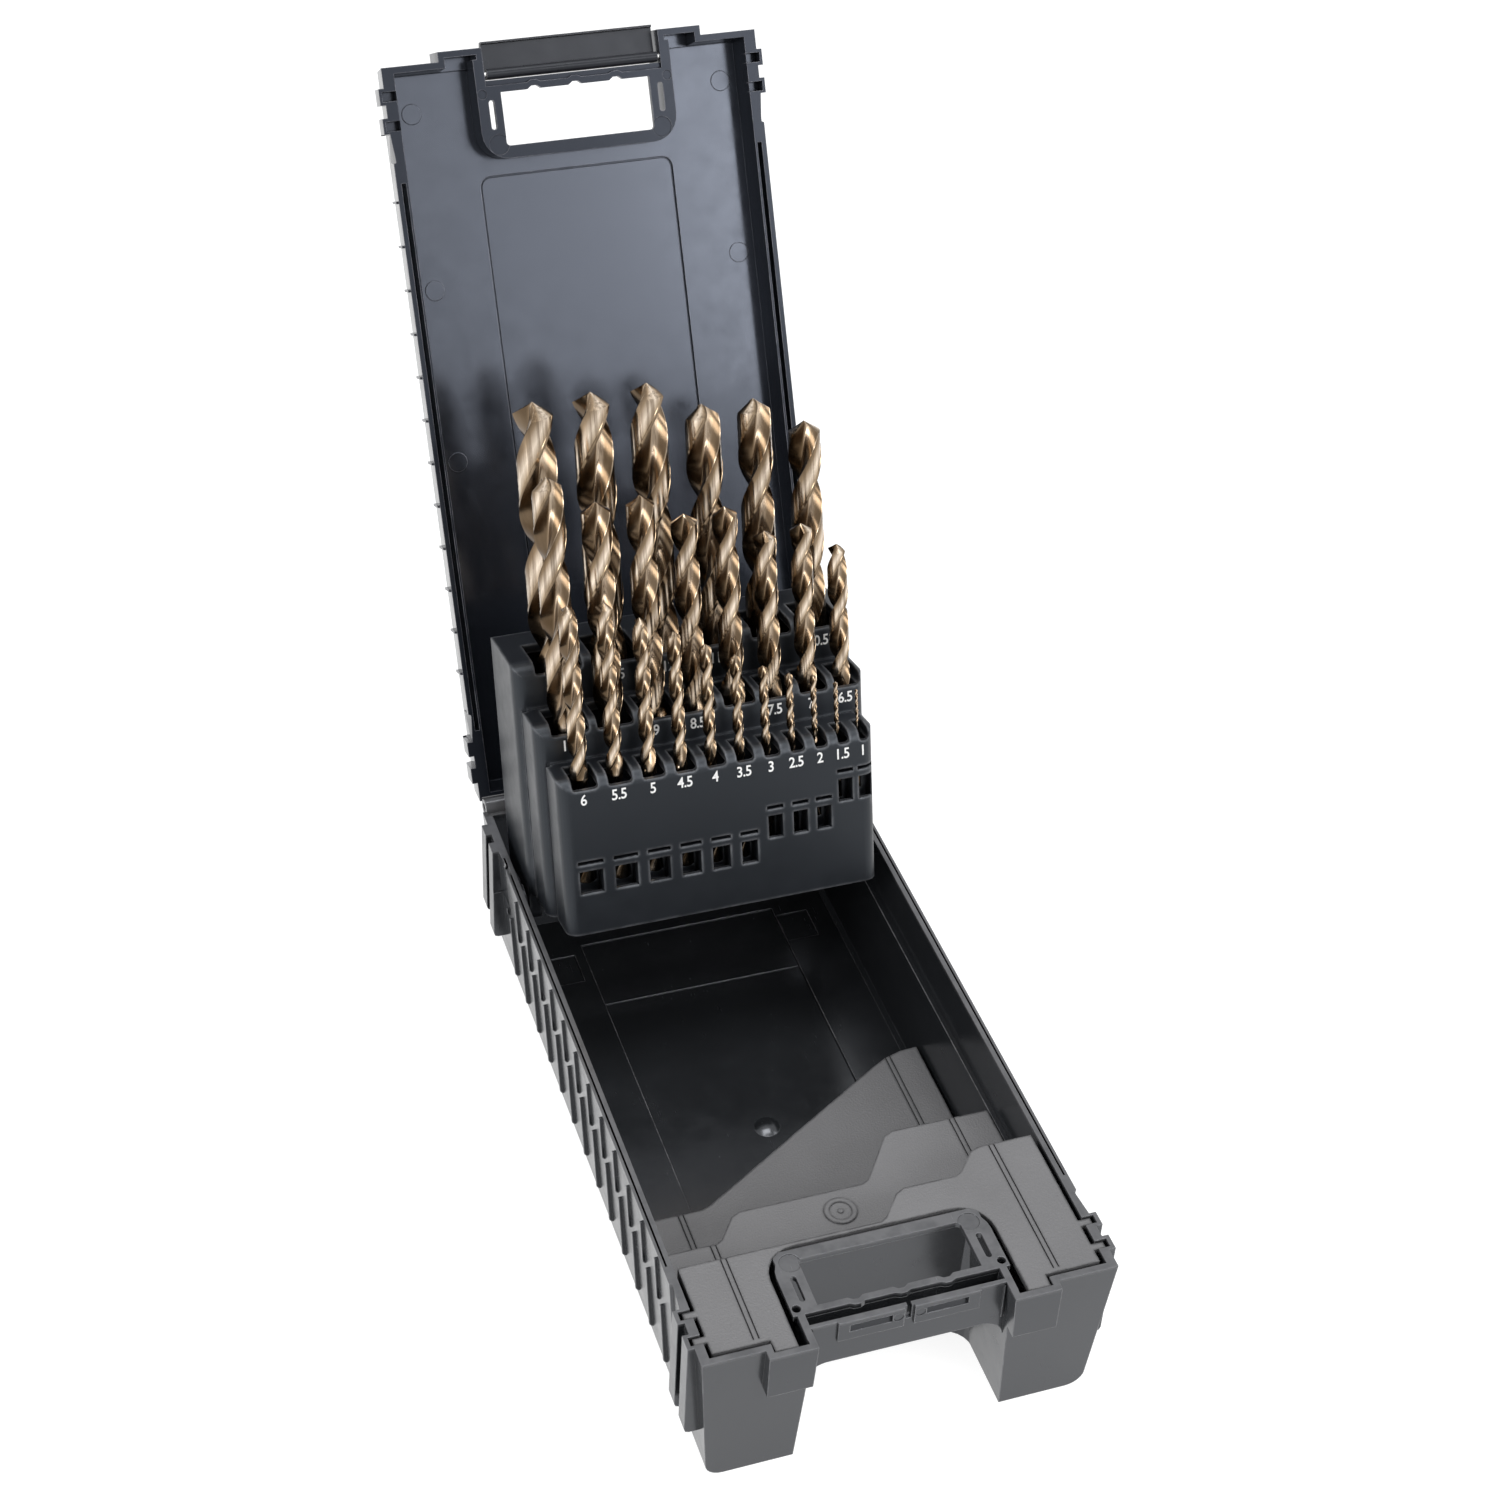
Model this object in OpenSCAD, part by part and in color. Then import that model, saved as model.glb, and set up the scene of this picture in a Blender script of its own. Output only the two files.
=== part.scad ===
// Drill bit case: a moulded tray with a tilting three-row holder for 25 twist
// drills, a stepped insert that stops the drill tips, and a hinged lid with a
// snap latch. Millimetres, +Z up, +Y towards the hinge. The origin is the
// centre of the tray's footprint, on the surface it stands on. The case is
// drawn open, with the holder swung up.

/* [Case] */
// Width over the rim
case_w = 124; // [123:0.5:130]
// Length of the rim, hinge side to handle side
case_l = 239; // [236:0.5:246]
// Height of the tray, floor to rim
base_h = 53.6; // [53:0.1:56]
// How much narrower each side is at the bottom of the tray
side_draft = 3.4; // [2.4:0.1:3.8]
// How much each end leans in towards the bottom of the tray
end_draft = 2.4; // [1.6:0.1:3]
// Wall thickness of the mouldings
wall = 2; // [1.7:0.1:2.4]
// Thickness of the tray's floor
floor_t = 2; // [1.6:0.1:2.2]
// Rounding along the bottom edges of the tray
bottom_r = 5.5; // [3:0.5:7]
// Width of the rim, outside to inside
rim_w = 2.8; // [2.6:0.1:3]
// Height of the ledge inside the side walls
ledge_z = 35; // [30:0.5:36]
// Width of the ledge inside the side walls
ledge_w = 1.5; // [1:0.1:1.6]
// Width of the groove along the tray's rim
groove_w = 0.6; // [0.5:0.1:0.8]
// Depth of the groove along the tray's rim
groove_d = 3; // [2:0.5:4]

/* [Side ribs and posts] */
// Distance from one upright side rib to the next
rib_pitch = 14; // [12:0.5:14.2]
// Number of ribs in each row
rib_count = 13; // [9:1:13]
// How far a side rib stands out
rib_out = 0.8; // [0.5:0.1:1.2]
// Thickness of a side rib
rib_w = 0.8; // [0.6:0.1:1.4]
// Depth of the scoop in the sides next to the inner posts
scoop = 0.8; // [0.4:0.1:0.9]
// Width of a corner post
post_w = 5.2; // [4.6:0.1:5.6]
// How far a corner post stands out from the side
post_out = 2; // [1.6:0.1:2.2]
// Distance between the two posts of a corner
post_pitch = 9.2; // [8.6:0.1:10]

/* [Handle] */
// Width of the gap between the two front corner boxes
bay_w = 58.4; // [56:0.2:60]
// Width of the flanged handle plate
plate_w = 65; // [63:0.5:66]
// Length of the handle plate
plate_l = 23; // [22:0.1:24]
// Distance from the rim's front edge to the handle plate
plate_front = 9; // [8.8:0.1:9.4]
// Thickness of the handle plate
plate_t = 2; // [1.6:0.1:2.4]
// Rounding of the handle plate's rear corners
plate_r = 8.5; // [6:0.5:10]
// Width of the finger opening
finger_w = 49.4; // [46:0.2:50]
// Length of the finger opening
finger_l = 16.8; // [15.5:0.1:17]
// How far the three finger rests bulge out of the opening's front edge
rest_depth = 1; // [0.6:0.1:1.2]
// Height of the bar that the latch hooks into
bar_h = 16.6; // [14:0.2:18]
// Thickness of the latch bar
bar_t = 1.3; // [1.1:0.1:1.6]
// How far the latch bar stands back from the rim's front edge
bar_set = 3.7; // [3.4:0.1:4]
// How far the inner shoulders stand out in front of the rim
shoulder_out = 3.1; // [2:0.1:3.4]
// Width of each inner shoulder
shoulder_w = 14.3; // [12:0.1:15]

/* [Lid] */
// Depth of the lid outside
lid_d = 13.8; // [13.4:0.1:16]
// Width of the lid's rim, outside to inside
lid_rim_w = 3.8; // [3.6:0.1:4]
// Width of the channel along the lid's rim
channel_w = 1.5; // [1.2:0.1:1.6]
// Depth of the channel along the lid's rim
channel_d = 7; // [3:0.5:8]
// How much narrower each side of the lid is at its top
lid_draft = 1.2; // [0.6:0.1:1.6]
// Opening angle of the lid
lid_angle = 117.65; // [110:0.05:120]
// Distance of the hinge axis behind the rear wall
hinge_back = 2.3; // [2.1:0.1:2.6]
// Outer radius of the hinge knuckles
knuckle_r = 3.2; // [3:0.1:3.4]
// Radius of the hinge pins
hinge_pin_r = 1.5; // [1.2:0.05:1.6]
// Length of one hinge pin
hinge_pin_l = 40; // [38:0.5:42]
// Width of one hinge knuckle
knuckle_w = 9; // [8:0.1:9]
// Distance from one knuckle to the next
knuckle_pitch = 9.5; // [9.4:0.1:9.7]

/* [Latch] */
// Gap between the latch flap and the cheek at each end
flap_gap = 0.8; // [0.5:0.1:1.4]
// Thickness of the latch flap
flap_t = 2.4; // [2:0.1:2.8]
// Gap between the locked flap's lip and the edge that it holds
flap_play = 0.3; // [0.2:0.05:0.6]
// Radius of the latch pin
latch_pin_r = 0.9; // [0.7:0.05:1]
// Width of each latch window
window_w = 12.6; // [11:0.2:14]
// Height of each latch window
window_h = 2.8; // [2.6:0.1:3.2]
// How far the flap is swung out from its locked place
flap_rest = 92; // [80:1:96]

/* [Drill holder] */
// Half-widths of the three tiers, front to rear
tier_half = [52, 54.6, 56.4];
// Distances of the three tier fronts from the front face
tier_front = [0, 14.9, 30.7];
// Heights of the three tiers
tier_h = [53.7, 66.3, 81];
// Depth of the holder, front to rear
holder_d = 58.7; // [57:0.1:59.5]
// Rounding of the tiers' upright corners
tier_r = 4; // [2:0.5:4.5]
// Rounding along the top of each tier's front
tier_top_r = 4.5; // [2.5:0.5:5]
// Distance of each drill row's axes behind its tier front
row_set = [7, 7.6, 9.3];
// Solid web between two neighbouring drills, row by row
row_web = [5.7, 4.9, 5.65];
// Distance of each row's first drill from the middle of the case
row_start = [-43.2, -42.9, -41.3];
// Height of the solid sockets at the foot of each tier
socket_h = [43, 30, 32];
// Clearance around a drill in its pocket, across
pocket_gap = 0.6; // [0.4:0.05:1]
// Depth of the open notch in front of each drill
notch_h = 3.9; // [3:0.1:5]
// How much wider than its drill a notch is
notch_gap = 2.4; // [1.6:0.1:3]
// How far back the opened holder leans
lean = 15.3; // [14.5:0.1:16]
// Gap between the closed holder and the floor
holder_gap = 1.2; // [1:0.1:1.6]
// Distance of the holder's pivot below its foot
pivot_drop = 4.8; // [4.4:0.1:5.2]
// Radius of the holder's pivot studs
stud_r = 2.5; // [2:0.1:3]
// Radius of the lugs that carry the pivot studs
lug_r = 6; // [5:0.1:6.4]

/* [Drill stop insert] */
// Heights of its three steps, lowest first
step_z = [13, 36, 53];
// Thickness of the insert's skin
insert_t = 1.8; // [1.4:0.1:2]
// Gap between the insert and the walls
insert_gap = 0.8; // [0.5:0.1:1]

/* [Hidden] */
$fn = 48;
eps = 0.01;
run_gap = 0.06; // radial clearance of a pin in its bore
seat_gap = 0.05; // gap between a drill's end and the foot of its pocket

half_w = case_w / 2;
half_l = case_l / 2;
front_y = -half_l;
draft_angle = atan(side_draft / base_h);

// size, overall length, flute length and socket height of each drill
ROW1 = [[6, 93, 57, 15.6], [5.5, 93, 57, 14.8], [5, 86, 52, 15.1], [4.5, 80, 47, 14.7],
        [4, 75, 43, 13.9], [3.5, 70, 39, 13.8], [3, 61, 33, 17.4], [2.5, 57, 30, 17.4],
        [2, 49, 24, 23.4], [1.5, 40, 18, 28.6], [1, 34, 12, 30.8]];
ROW2 = [[10, 133, 87, 11.8], [9.5, 125, 81, 9.6], [9, 125, 81, 9.6], [8.5, 117, 75, 9.4],
        [8, 117, 75, 9.8], [7.5, 109, 69, 7.8], [7, 109, 69, 8.3], [6.5, 101, 63, 7.6]];
ROW3 = [[13, 151, 101, 12], [12.5, 151, 101, 12.6], [12, 151, 101, 13], [11.5, 142, 94, 12.8],
        [11, 142, 94, 12.2], [10.5, 133, 87, 11.6]];
ROWS = [ROW1, ROW2, ROW3];

DRILL_NODES = [["drill_6_0", "drill_5_5", "drill_5_0", "drill_4_5", "drill_4_0", "drill_3_5",
                "drill_3_0", "drill_2_5", "drill_2_0", "drill_1_5", "drill_1_0"],
               ["drill_10_0", "drill_9_5", "drill_9_0", "drill_8_5", "drill_8_0", "drill_7_5",
                "drill_7_0", "drill_6_5"],
               ["drill_13_0", "drill_12_5", "drill_12_0", "drill_11_5", "drill_11_0",
                "drill_10_5"]];

// The holder pivots so that it stands at its lean when open and lies flat,
// holder_gap above the floor, when closed.
open_foot = [48.86, 57.54];
closed_z = floor_t + holder_gap;
pivot_b = -pivot_drop;
pivot_a = (open_foot[1] - closed_z + pivot_b * cos(lean)) / (1 + sin(lean));
pivot_y = open_foot[0] + pivot_a * cos(lean) + pivot_b * sin(lean);
pivot_z = closed_z + pivot_a;

// Knuckles from the middle outwards: base, lid, base, lid, base
knuckle_end = half_w - 5.6;
base_knuckles = [for (i = [0, 2, 4]) knuckle_end - i * knuckle_pitch];
lid_knuckles = [for (i = [1, 3]) knuckle_end - i * knuckle_pitch];
pin_end = knuckle_end - 4 * knuckle_pitch - knuckle_w / 2 + 2;

// Places on the lid and latch, measured with the lid closed
hinge_y = half_l + hinge_back;
hinge_z = base_h;
lid_z0 = base_h + 0.2;
lid_z1 = base_h + lid_d;
barrel_r = latch_pin_r + 0.7;
latch_y = front_y + bar_set + barrel_r;
latch_z = lid_z0 + barrel_r;
window_z = base_h - 1.6 - window_h;
window_x = 5.1;
frame_rim = 3.6; // rim of the raised frame round a latch window
frame_out = 0.8; // how far that frame stands out
flap_w = bay_w - 2 * flap_gap;

// x of drill i in a row: the first place plus the widths and webs before it
function drill_x(row, i) =
    i == 0 ? row_start[row]
           : drill_x(row, i - 1) + row_web[row]
             + (ROWS[row][i - 1][0] + ROWS[row][i][0]) / 2;

function arc(cx, cy, r, a0, a1, n = 6) =
    [for (i = [0:n]) [cx + r * cos(a0 + (a1 - a0) * i / n), cy + r * sin(a0 + (a1 - a0) * i / n)]];

// ---------- shared shapes ----------

// A prism of a profile in the X-Z plane, from y0 to y1
module along_y(y0, y1) {
    translate([0, y1, 0]) rotate([90, 0, 0]) linear_extrude(y1 - y0) children();
}

// A prism of a profile in the Y-Z plane, from x0 to x1
module along_x(x0, x1) {
    translate([x0, 0, 0]) rotate([90, 0, 90]) linear_extrude(x1 - x0) children();
}

module box(x0, x1, y0, y1, z0, z1) {
    translate([x0, y0, z0]) cube([x1 - x0, y1 - y0, z1 - z0]);
}

// A block with drafted sides: half-widths at the bottom and at the top
module drafted(b, t, y0b, y1b, y0t, y1t, z0, z1) {
    intersection() {
        along_y(min(y0b, y0t) - 1, max(y1b, y1t) + 1)
            polygon([[-b, z0], [b, z0], [t, z1], [-t, z1]]);
        along_x(-max(b, t) - 1, max(b, t) + 1)
            polygon([[y0b, z0], [y1b, z0], [y1t, z1], [y0t, z1]]);
    }
}

// Three low bulges along an edge that faces the front, for the fingers
module finger_rests(y, depth) {
    for (i = [-1:1]) translate([i * finger_w * 0.275, y])
        polygon([[-2.3, eps], [-0.9, -depth], [0.9, -depth], [2.3, eps]]);
}

plate_rear = front_y + plate_front + plate_l;
mark_r = 3.2; // the shallow round marks on the plates and along the lid

// Outline of the flanged handle plate: rounded at the rear, open in front
module handle_outline(grow, front) {
    w = plate_w / 2 + grow;
    rear = front_y + plate_front + plate_l + grow;
    r = plate_r + grow;
    polygon(concat([[-w, front], [w, front]],
                   arc(w - r, rear - r, r, 0, 90), arc(-w + r, rear - r, r, 90, 180)));
}

// The plate itself, its front edge bulging with the finger rests
module plate(z, front) {
    translate([0, 0, z]) linear_extrude(plate_t) {
        handle_outline(0, front);
        finger_rests(front, rest_depth - 0.3);
    }
}

// The finger opening, with rests for three fingers along its front edge
module finger_outline() {
    rear = front_y + plate_front + plate_l - 4;
    polygon(concat([[-finger_w / 2, rear - finger_l], [finger_w / 2, rear - finger_l]],
                   arc(finger_w / 2 - 1.2, rear - 1.2, 1.2, 0, 90, 4),
                   arc(-finger_w / 2 + 1.2, rear - 1.2, 1.2, 90, 180, 4)));
    finger_rests(rear - finger_l, rest_depth);
}

// Slots in a handle plate
module plate_cuts() {
    finger_outline();
    for (s = [-1, 1])
        translate([s * (plate_w / 2 - 4.4), plate_rear - 14]) {
            square([1.8, 7.4], center = true);
            for (e = [-1, 1]) translate([0, e * 3.7]) circle(r = 0.9);
        }
}

// Shallow round marks at a handle plate's rear corners
module plate_marks(z0, z1) {
    for (s = [-1, 1])
        translate([s * (plate_w / 2 - 5.3), plate_rear - 4.6, z0])
            cylinder(r = mark_r, h = z1 - z0);
}

// Two small round places at a handle plate's front corners
module plate_corners(r, z0, z1) {
    for (s = [-1, 1])
        translate([s * (plate_w / 2 - 1.7), plate_rear - 20.6, z0]) cylinder(r = r, h = z1 - z0);
}

// ---------- base shell ----------

module base_outer() {
    b = half_w - side_draft;
    intersection() {
        along_y(front_y - 1, half_l + 1)
            polygon(concat(arc(-b + bottom_r, bottom_r, bottom_r, 180, 270),
                           arc(b - bottom_r, bottom_r, bottom_r, 270, 360),
                           [[half_w, base_h], [-half_w, base_h]]));
        along_x(-half_w - 1, half_w + 1)
            polygon([[front_y + end_draft, 0], [half_l - end_draft, 0],
                     [half_l, base_h], [front_y, base_h]]);
    }
}

corner_cut = 1.5; // bevel along the inside of the floor
boss_r = 5; // the low round bosses on the floor and on the middle step
module base_cavity() {
    low = half_w - side_draft - wall - 0.2;
    mid = half_w - rim_w - ledge_w;
    intersection() {
        along_y(front_y, half_l)
            polygon([[-low + corner_cut, floor_t], [low - corner_cut, floor_t],
                     [low, floor_t + corner_cut], [mid, ledge_z + eps],
                     [-mid, ledge_z + eps], [-low, floor_t + corner_cut]]);
        along_x(-half_w, half_w)
            polygon([[front_y + end_draft + wall, floor_t], [half_l - end_draft - wall, floor_t],
                     [half_l - wall - 0.4, ledge_z + 1], [front_y + wall + 0.6, ledge_z + 1]]);
    }
    drafted(half_w - rim_w, half_w - rim_w,
            front_y + wall + 0.6, half_l - wall - 0.4,
            front_y + wall, half_l - wall - 0.4, ledge_z, base_h + 1);
}

// A row of upright ribs on one long side; side is 1 for the right, -1 for the
// left, and x = 0 is the wall's surface
module side_ribs(side, z0, z1, y0) {
    for (k = [0:rib_count - 1])
        translate([0, y0 + k * rib_pitch, 0])
            along_y(-rib_w / 2, rib_w / 2)
                polygon([[-side * 0.5, z0 - 0.5], [side * rib_out * 0.4, z0],
                         [side * rib_out, z0 + rib_out], [side * rib_out, z1], [-side * 0.5, z1]]);
}

// Scoops in one long side, each from an inner post to the end of the ribs
module side_scoops(side, z0, z1, depth) {
    for (e = [-1, 1]) {
        post = e * (half_l - 8.9 - post_pitch - post_w / 2 + 0.3);
        end = e * (half_l - 29.4);
        translate([0, 0, z0]) linear_extrude(z1 - z0)
            polygon([[side * 3, post], [-side * 0.1, post], [-side * depth, end + e * 1.4],
                     [-side * depth, end], [side * 0.1, end - e * 0.4], [side * 3, end - e * 0.4]]);
    }
}

// Places what is drawn against a long side along the tray's leaning wall
module on_wall(side) {
    translate([side * (half_w - side_draft), 0, 0]) rotate([0, side * draft_angle, 0]) children();
}

rib_y = front_y + 41.8;
rib_split = ledge_z - 1.7; // height at which the two rows of ribs meet
module base_ribs() {
    for (s = [-1, 1]) on_wall(s) {
        side_ribs(s, rib_split, base_h - 2.4, rib_y);
        side_ribs(s, bottom_r + 2.8, rib_split + 1, rib_y - 3.4);
    }
}

// The two posts beside a corner: ys runs from the outer to the inner post
function post_ys(end) = [end * (half_l - 8.9), end * (half_l - 8.9 - post_pitch)];
module base_posts() {
    for (s = [-1, 1], e = [-1, 1], i = [0, 1]) {
        foot = e < 0 ? 17 : [20, 16][i];
        y = post_ys(e)[i];
        x0 = half_w - side_draft - 0.4;
        x1 = half_w + post_out;
        along_y(y - post_w / 2, y + post_w / 2)
            polygon([[s * x0, foot], [s * (x1 - 1.5), foot], [s * (x1 - 0.4), foot + 0.5],
                     [s * x1, foot + 1.6], [s * x1, base_h], [s * x0, base_h]]);
    }
}

// Notches in the rim that the insert's and the lid's tabs drop into
module post_notches(z0, z1) {
    for (s = [-1, 1], i = [0, 1]) {
        y = post_ys(-1)[i];
        x0 = half_w - rim_w - 1;
        x1 = half_w + post_out - 1.2;
        box(min(s * x0, s * x1), max(s * x0, s * x1), y - 1.5, y + 1.5, z0, z1);
    }
}

// Wall of the handle bay, under the plate
module bay_wall() {
    top = plate_w / 2 - 1.2;
    drafted(top + 2.6, top, front_y + end_draft, front_y + plate_front + plate_l + 1,
            front_y, front_y + plate_front + plate_l, 0, base_h);
}

module bay_void() {
    top = bay_w / 2;
    rear = front_y + plate_front + plate_l - wall;
    intersection() {
        drafted(top + 2.8, top, front_y - 5, rear + 0.6, front_y - 5, rear, -1, base_h - plate_t);
        translate([0, 0, -2]) linear_extrude(base_h + 3) handle_outline(-0.4, front_y - 6);
    }
    translate([0, 0, base_h - plate_t - 1]) linear_extrude(plate_t + 2) difference() {
        translate([-top, front_y - 5]) square([bay_w, plate_front + 5]);
        finger_rests(front_y + plate_front, rest_depth - 0.3);
    }
}

// A rib along the plate's front edge, from cheek to cheek
module grip_rib(y0, y1, z0, z1) {
    box(-bay_w / 2 - 1, bay_w / 2 + 1, y0, y1, z0, z1);
}

module latch_bar() {
    y = front_y + bar_set;
    difference() {
        union() {
            box(-bay_w / 2 - 1, bay_w / 2 + 1, y, y + bar_t, base_h - bar_h, base_h);
            for (s = [-1, 1]) bar_fillet(s, y);
            for (s = [-1, 1])
                box(s * (window_x + window_w / 2) - window_w / 2 - frame_rim,
                    s * (window_x + window_w / 2) + window_w / 2 + frame_rim,
                    y - frame_out, y + eps, window_z - frame_rim + 0.4, base_h);
            for (s = [-1, 1])
                box(s * (bay_w - flap_gap) / 2 - 0.2, s * (bay_w - flap_gap) / 2 + 0.2,
                    y - 0.5, y + eps, base_h - bar_h + 2, base_h - 1);
        }
        for (s = [-1, 1])
            box(s * (window_x + window_w / 2) - window_w / 2,
                s * (window_x + window_w / 2) + window_w / 2,
                y - 2, y + bar_t + 1, window_z, window_z + window_h);
        box(-0.7, 0.7, y - 1, y + bar_t + 1, base_h - 5.5, base_h + 1);
        for (s = [-1, 1])
            translate([s * (window_x - frame_rim / 2), y - frame_out + 0.2, window_z + 1.2])
                rotate([90, 0, 0]) cylinder(r = 1.5, h = 1);
    }
}

// Rounded corner between the latch bar's lower edge and a front corner box
bar_round = 7;
module bar_fillet(s, y) {
    x = bay_w / 2 + 2;
    z = base_h - bar_h;
    along_y(y, y + bar_t) difference() {
        polygon([[s * x, z + 1], [s * x, z - bar_round], [s * (x - 1 - bar_round), z],
                 [s * (x - 1 - bar_round), z + 1]]);
        translate([s * (x - 1 - bar_round), z - bar_round]) circle(r = bar_round);
    }
}

module shoulders(z0, z1) {
    for (s = [-1, 1])
        box(min(s * bay_w / 2, s * (bay_w / 2 + shoulder_w)),
            max(s * bay_w / 2, s * (bay_w / 2 + shoulder_w)),
            front_y - shoulder_out, front_y + 4, z0, z1);
}

module knuckles(xs, clear) {
    for (s = [-1, 1], x = xs)
        translate([s * x, hinge_y, hinge_z]) rotate([0, 90, 0])
            cylinder(r = knuckle_r + clear, h = knuckle_w + 2 * clear, center = true);
}

// Each pin goes in from its outer end, up to the blind end of its bore
module hinge_bores() {
    for (s = [-1, 1])
        translate([s * (pin_end - 0.2), hinge_y, hinge_z]) rotate([0, s * 90, 0])
            cylinder(r = hinge_pin_r + run_gap, h = hinge_pin_l + 9);
}

pivot_gap = 0.6;
pivot_half = tier_half[2] + pivot_gap;
module pivot_brackets() {
    for (s = [-1, 1])
        along_x(min(s * pivot_half, s * (half_w - rim_w + 0.5)),
                max(s * pivot_half, s * (half_w - rim_w + 0.5)))
            polygon(concat([[pivot_y - lug_r - 2, ledge_z - 2], [pivot_y + lug_r + 2, ledge_z - 2]],
                           arc(pivot_y, pivot_z, lug_r, 0, 180, 12)));
}

// Shallow panel sunk in the middle of the floor, with a deeper step across it,
// and a pad on each side near the hinge
panel_w = 0.556 * case_w;
module floor_panel() {
    x = panel_w / 2;
    box(-x + 1.5, x + 1.5, front_y + 75, half_l - 18.5, floor_t - 0.4, floor_t + 1);
    box(-x + 1.5, x + 1.5, front_y + 75, half_l - 48, floor_t - 0.7, floor_t + 1);
    for (s = [-1, 1])
        box(s * (x + 7.5) - 5.5, s * (x + 7.5) + 5.5, half_l - 35.5, half_l - 22.5,
            floor_t - 0.3, floor_t + 1);
}

// A low dome on the floor panel
module floor_bump() {
    rise = 1.2;
    r = 4.2;
    dome = (r * r + rise * rise) / (2 * rise);
    translate([1.5, 4.2, floor_t - 0.7]) intersection() {
        translate([0, 0, rise - dome]) sphere(r = dome);
        translate([0, 0, -0.5]) cylinder(r = r, h = 3);
    }
}

module base_shell() {
    color([0.09, 0.09, 0.1]) difference() {
        union() {
            difference() {
                union() {
                    base_outer();
                    base_ribs();
                    base_posts();
                    shoulders(base_h - bar_h, base_h);
                }
                base_cavity();
                shoulder_pockets(base_h - bar_h + wall, base_h + 1);
                floor_panel();
            }
            intersection() {
                bay_wall();
                translate([0, 0, -1]) linear_extrude(base_h + 1) handle_outline(1.4, front_y - 5);
            }
            plate(base_h - plate_t, front_y + plate_front);
            pivot_brackets();
            knuckles(base_knuckles, 0);
            floor_bump();
        }
        bay_void();
        translate([0, 0, base_h - plate_t - 1]) linear_extrude(plate_t + 2) plate_cuts();
        plate_corners(1.3, base_h - plate_t - 1, base_h + 1);
        plate_marks(base_h - 0.25, base_h + 1);
        for (s = [-1, 1]) on_wall(s) side_scoops(s, ledge_z + 1, base_h + 2, scoop);
        rim_grooves(half_w - 1.1, groove_w, base_h - groove_d, base_h + 1);
        post_notches(base_h - 8, base_h + 1);
        knuckles(lid_knuckles, 0.3);
        hinge_bores();
        for (s = [-1, 1])
            translate([s * (pivot_half + 1.3), pivot_y, pivot_z]) rotate([0, 90, 0])
                cylinder(r = stud_r + run_gap, h = 3, center = true);
    }
    color([0.09, 0.09, 0.1]) {
        latch_bar();
        grip_rib(front_y + plate_front + 0.2, front_y + plate_front + 1.4,
                 base_h - 10.6, base_h - 1.4);
    }
}

module shoulder_pockets(z0, z1) {
    for (s = [-1, 1])
        box(min(s * (bay_w / 2 + wall), s * (bay_w / 2 + shoulder_w - wall)),
            max(s * (bay_w / 2 + wall), s * (bay_w / 2 + shoulder_w - wall)),
            front_y - shoulder_out + wall, front_y + wall + 1, z0, z1);
}

module rim_grooves(x, w, z0, z1) {
    for (s = [-1, 1])
        box(s * x - w / 2, s * x + w / 2, front_y + 36, half_l - 24, z0, z1);
}

// ---------- drill stop insert ----------

// Rear edges of the three steps, left to right
function step_edge(i, half) =
    i == 0 ? [[-half, -33], [-33, -33], [-30.3, -32.2], [37.4, 8.4], [44, 11.9], [50, 13.7],
              [half, 13.9]]
  : i == 1 ? [[-half, -65.5], [-39.4, -65.5], [-37.6, -64.4], [-32.2, -57], [-29.4, -55.7],
              [9.2, -55.7], [11.6, -54.6], [22.4, -39.6], [25.4, -38.2], [half, -38.2]]
  :          [[-half, -84.6], [3.2, -84.6], [5.2, -83.4], [11, -76], [14, -74.4],
              [30.4, -74.4], [32.4, -73.3], [38, -66.8], [41, -65.6], [half, -65.6]];

insert_half = [half_w - side_draft - wall - 0.9, half_w - rim_w - ledge_w - insert_gap,
               half_w - rim_w - insert_gap - 0.5];
insert_front = front_y + wall + 1.6;

module step_outline(i) {
    half = insert_half[i];
    polygon(concat([[half, insert_front], [-half, insert_front]], step_edge(i, half)));
}

// x of the left and the right pair of fine lines on each step
line_x = [[-39.8, 45], [-40.8, 45], [-44.6, 45]];

// The hollow under a step: open to the front and the sides
module step_hollow(i) {
    half = half_w + 1;
    polygon(concat([[half, front_y - 10], [-half, front_y - 10]],
                   [for (p = step_edge(i, half)) [p[0], p[1] - insert_t]]));
}

module drill_stop_insert() {
    color([0.2, 0.2, 0.21]) difference() {
        union() {
            for (i = [0:2]) translate([0, 0, floor_t])
                linear_extrude(step_z[i] - floor_t) step_outline(i);
            insert_tabs();
            translate([-0.5, -64, step_z[1] - 1]) cylinder(r = boss_r, h = 1.5);
        }
        for (i = [0:2]) translate([0, 0, floor_t - 1])
            linear_extrude(step_z[i] - insert_t - floor_t + 1) step_hollow(i);
        translate([-0.5, -64, step_z[1] + 0.1]) difference() {
            cylinder(r = boss_r - 1.6, h = 1);
            translate([0, 0, -1]) cylinder(r = 0.9, h = 1.3);
        }
        // room for the handle plate, the bay behind it and the leg walls
        translate([0, 0, -1]) linear_extrude(base_h + 2) handle_outline(1.7, front_y - 5);
        insert_relief();
        // two pairs of fine lines along each step
        for (i = [0:2], s = [-1, 1], d = [-0.8, 0.8])
            box(line_x[i][s > 0 ? 1 : 0] + d - 0.2, line_x[i][s > 0 ? 1 : 0] + d + 0.2,
                insert_front + 1.5, 20, step_z[i] - 0.4, step_z[i] + 0.1);
    }
}

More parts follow.
